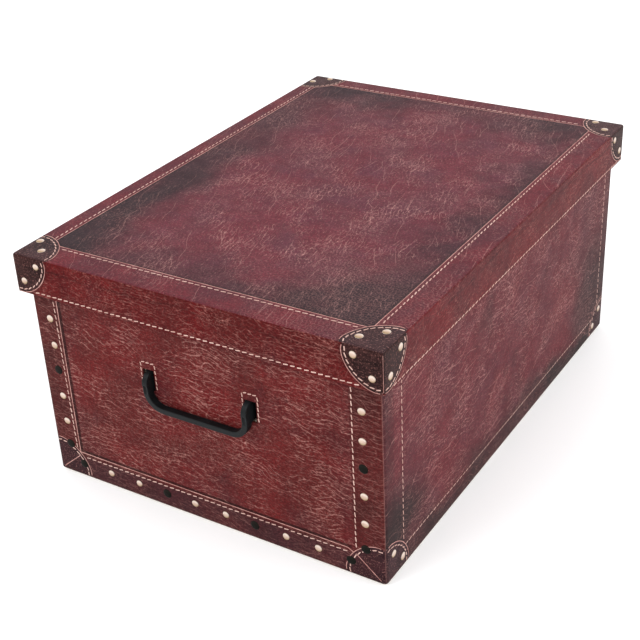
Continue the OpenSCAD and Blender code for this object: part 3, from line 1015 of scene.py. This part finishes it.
# lid top
R = Relief("lid_top")
cs = [(sx * LX, sy * LY) for sx in (-1, 1) for sy in (-1, 1)]
clip = in_any(cs, PATCH_T - 0.2)
x0, x1, y0, y1 = -169.0, 163.0, -229.8, 235.0
for a, b in (((x0, y0), (x1, y0)), ((x0, y1), (x1, y1)), ((x0, y0), (x0, y1)), ((x1, y0), (x1, y1))):
    R.row([a, b], skip=clip)
i = 3.6
for a, b in (((x0 + i, y0 + i), (x1 - i, y0 + i)), ((x0 + i, y1 - i), (x1 - i, y1 - i)), ((x0 + i, y0 + i), (x0 + i, y1 - i)), ((x1 - i, y0 + i), (x1 - i, y1 - i))):
    R.line([a, b], skip=clip)
studs_top = {(-1, -1): [(7.1, 29.2), (21.6, 14.7)], (1, -1): [(28.6, 13.9), (13.0, 28.9)], (1, 1): [(28.3, 7.3), (12.6, 22.9)], (-1, 1): [(7.2, 20.6), (21.3, 6.2)]}
for (sx, sy), pts in studs_top.items():
    a0 = {(-1, -1): 0, (1, -1): 90, (1, 1): 180, (-1, 1): 270}[(sx, sy)]
    R.line(circle(sx * LX, sy * LY, PATCH_T, a0 + 1.6, a0 + 88.4), step=3.0, w=0.7)
    R.row(circle(sx * LX, sy * LY, PATCH_T - 3.2, a0 + 2, a0 + 88), pitch=5.6, dash=4.0)
    for du, dv in pts:
        R.stud(sx * (LX - du), sy * (LY - dv), r=3.5)
R.done("stitching_lid_top", "lid")

# lid skirts
for face, half, z_row, end in (("lid_front", LX, 199.8, True), ("lid_rear", LX, 199.8, True), ("lid_left", LY, 197.9, False), ("lid_right", LY, 197.9, False)):
    R = Relief(face)
    cs = [(-half, LT), (half, LT)]
    R.row([(-half + 14, z_row), (half - 14, z_row)], skip=in_any(cs, PATCH_S - 0.4))
    for s in (-1, 1):
        a0 = 270 if s < 0 else 180
        lo = 3.2 if end else 3.2
        R.line(circle(s * half, LT, PATCH_S - 0.4, a0 + lo, a0 + 90 - 2.4), step=3.0, w=0.7)
        R.row(circle(s * half, LT, PATCH_S - 3.4, a0 + 3.5, a0 + 86.5), pitch=5.6, dash=4.0)
        for du, dv in ((26.5, 8.3), (10.2, 25.2)):
            R.stud(s * (half - du), LT - dv, r=3.15 if end else 3.5)
        if end:
            R.line([(s * (half - 0.25), LB + 3), (s * (half - 0.25), LT - 2.5)], w=0.5, h=0.12, step=3.0)
    R.done("stitching_" + face, "lid")

# body ends
for face in ("body_front", "body_rear"):
    k = 1 if face == "body_front" else -1
    R = Relief(face)
    cs = [(-BX, 0.0), (BX, 0.0)]
    clip = in_any(cs, PATCH_B - 0.4)
    R.row([(k * 150.0, 24.0), (k * 150.4, 229.0)], skip=clip)
    R.row([(k * -152.8, 25.0), (k * -153.2, 229.0)], skip=clip)
    R.row([(-150.0, 24.0), (149.0, 24.0)], skip=clip)
    R.line([(k * -149.4, 27.5), (k * -149.6, 229.0)], skip=clip, w=0.8)
    R.line([(-149.0, 28.3), (142.5, 28.3), (149.5, 24.0)] if k > 0 else [(149.0, 28.3), (-142.5, 28.3), (-149.5, 24.0)], skip=clip, w=0.85)
    for z, b in ((197.7, 1), (169.7, 0), (141.4, 0), (114.8, 1), (87.2, 0), (59.2, 0), (32.8, 1)):
        R.stud(k * 159.5, z, bool(b), r=4.5 if b else 3.5)
    for z, b in ((197.9, 1), (170.0, 0), (142.4, 0), (116.3, 1), (88.1, 0), (60.3, 0), (34.7, 1)):
        R.stud(k * -160.2, z, bool(b), r=4.5 if b else 3.5)
    for x, b in ((144.8, 1), (112.5, 0), (79.8, 0), (47.5, 1), (16.2, 0), (-17.4, 0), (-48.8, 1), (-81.0, 0), (-114.0, 0), (-146.9, 1)):
        R.stud(k * x, 15.6, bool(b), r=4.5 if b else 3.4)
    for s in (-1, 1):
        a0, a1 = (0, 90) if s < 0 else (90, 180)
        R.line(circle(s * BX, 0, PATCH_B, a0 + 2.5, a1 - 2.5), step=3.0, w=0.7)
        R.row(circle(s * BX, 0, PATCH_B - 3.3, a0 + 3.5, a1 - 3.5), pitch=5.6, dash=4.0)
        R.line([(s * 149.8, 24.6), (s * 176.3, 1.9)], w=0.75, step=4.0)
        # stitched frame round each handle slot, open below
        c = s * SX
        R.row([(c - 7.6, 127.5), (c - 7.6, 153.6)], pitch=5.4, dash=3.9)
        R.row([(c - 7.2, 153.9), (c + 7.2, 153.9)], pitch=4.9, dash=3.5)
        R.row([(c + 7.6, 153.6), (c + 7.6, 127.5)], pitch=5.4, dash=3.9)
    R.done("stitching_" + face, "box")

# body sides
for face in ("body_left", "body_right"):
    R = Relief(face)
    cs = [(-BY, 0.0), (BY, 0.0)]
    clip = in_any(cs, PATCH_B - 0.4)
    R.row([(-216.2, 22.0), (-216.2, 229.0)], skip=clip, w=0.85)
    R.row([(227.0, 22.0), (227.0, 229.0)], skip=clip, w=0.85)
    R.row([(-214.0, 22.0), (226.0, 22.0)], skip=clip, w=0.8)
    for s in (-1, 1):
        a0, a1 = (0, 90) if s < 0 else (90, 180)
        R.line(circle(s * BY, 0, PATCH_B, a0 + 2.5, a1 - 2.5), step=3.0, w=0.7)
        R.row(circle(s * BY, 0, PATCH_B - 3.3, a0 + 3.5, a1 - 3.5), pitch=5.6, dash=4.0)
        R.stud(s * (BY - 13.0), 26.6)
        R.stud(s * (BY - 28.6), 12.4)
    R.done("stitching_" + face, "box")


# ------------------------------------------------------------------ handles
def handle(node):
    """The moulded bail: the same shape as the frame's, with every edge softened as a moulding has it."""
    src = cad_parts[node]
    me = src.data.copy()
    me.name = node + "_moulded"
    o = bpy.data.objects.new(node + "_moulded", me)
    bpy.context.scene.collection.objects.link(o)
    bm = bmesh.new()
    bm.from_mesh(me)
    bmesh.ops.remove_doubles(bm, verts=bm.verts, dist=1e-6)
    bmesh.ops.recalc_face_normals(bm, faces=bm.faces)
    bm.to_mesh(me)
    bm.free()
    r = o.modifiers.new("remesh", "REMESH")
    r.mode, r.voxel_size, r.adaptivity = "VOXEL", 0.00036, 0.0
    s = o.modifiers.new("soften", "SMOOTH")
    s.factor, s.iterations = 0.5, 9
    dg = bpy.context.evaluated_depsgraph_get()
    out = bpy.data.meshes.new_from_object(o.evaluated_get(dg))
    o.modifiers.clear()
    o.data = out
    out.materials.clear()
    out.materials.append(M_PLASTIC)
    out.shade_smooth()
    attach(o, node.replace("handle_", "") + "_handle")
    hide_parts(node)
    return o


handle("handle_front")
handle("handle_rear")

# ---------------------------------------------- plain boards kept from the CAD
for name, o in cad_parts.items():
    if not o.hide_render:
        o.data.materials.clear()
        o.data.materials.append(M_BOARD)

# ------------------------------------------------------------ floor and light
me = bpy.data.meshes.new("floor")
me.from_pydata([(-14, -14, -0.0006), (14, -14, -0.0006), (14, 14, -0.0006), (-14, 14, -0.0006)], [], [(0, 1, 2, 3)])
fm = Mat("floor_pale")
fp = fm.coord()
fc = fm.mix(fm.noise(fp, 900, 2.0, 0.5), srgb(244, 244, 245), srgb(248, 248, 248))
fm.finish(fc, fm.step(fm.noise(fp, 40, 3.0, 0.6), 0.3, 0.7, 0.75, 0.85), None, 0.2)
fm.b.inputs["Emission Color"].default_value = (1.0, 1.0, 1.0, 1.0)
fm.b.inputs["Emission Strength"].default_value = 0.16
me.materials.append(fm.m)
floor = bpy.data.objects.new("floor", me)
bpy.context.scene.collection.objects.link(floor)
floor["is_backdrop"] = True

world = bpy.data.worlds.new("studio")
bpy.context.scene.world = world
world.use_nodes = True
bg = world.node_tree.nodes["Background"]
bg.inputs["Color"].default_value = (1.0, 1.0, 1.0, 1.0)
bg.inputs["Strength"].default_value = 1.08


def area(name, loc, target, size, power, colour=(1, 1, 1)):
    l = bpy.data.lights.new(name, "AREA")
    l.shape, l.size, l.energy, l.color = "DISK", size, power, colour
    o = bpy.data.objects.new(name, l)
    o.location = loc
    o.rotation_mode = "QUATERNION"
    o.rotation_quaternion = (Vector(target) - Vector(loc)).to_track_quat("-Z", "Y")
    bpy.context.scene.collection.objects.link(o)
    return o


area("key", (-0.9, -1.9, 2.1), (0, 0, 0.1), 1.5, 22.0)
area("fill", (2.4, -0.3, 1.7), (0, 0, 0.1), 2.2, 18.0)
area("back", (0.2, 2.6, 2.2), (0, 0, 0.1), 2.2, 14.0)

scene = bpy.context.scene
scene.view_settings.view_transform = "Standard"
scene.view_settings.look = "None"
scene.view_settings.exposure = 0.0
scene.view_settings.gamma = 1.0

# --------------------------------------------------------------------- camera
az, el, roll = math.radians(32.815), math.radians(29.637), math.radians(-2.879)
back = Vector((math.sin(az) * math.cos(el), -math.cos(az) * math.cos(el), math.sin(el)))
fwd = -back
right = fwd.cross(Vector((0, 0, 1))).normalized()
up = right.cross(fwd)
r2 = right * math.cos(roll) + up * math.sin(roll)
u2 = up * math.cos(roll) - right * math.sin(roll)
cam_data = bpy.data.cameras.new("camera")
cam_data.sensor_fit = "HORIZONTAL"
cam_data.sensor_width = 36.0
cam_data.lens = 1288.838 / 640.0 * 36.0
cam_data.clip_start, cam_data.clip_end = 0.01, 100.0
cam = bpy.data.objects.new("camera", cam_data)
m4 = Matrix((r2, u2, back)).transposed().to_4x4()
m4.translation = Vector((0.586442, -0.961178, 0.726536))
cam.matrix_world = m4
scene.collection.objects.link(cam)
scene.camera = cam

bpy.context.view_layer.update()
lo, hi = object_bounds()
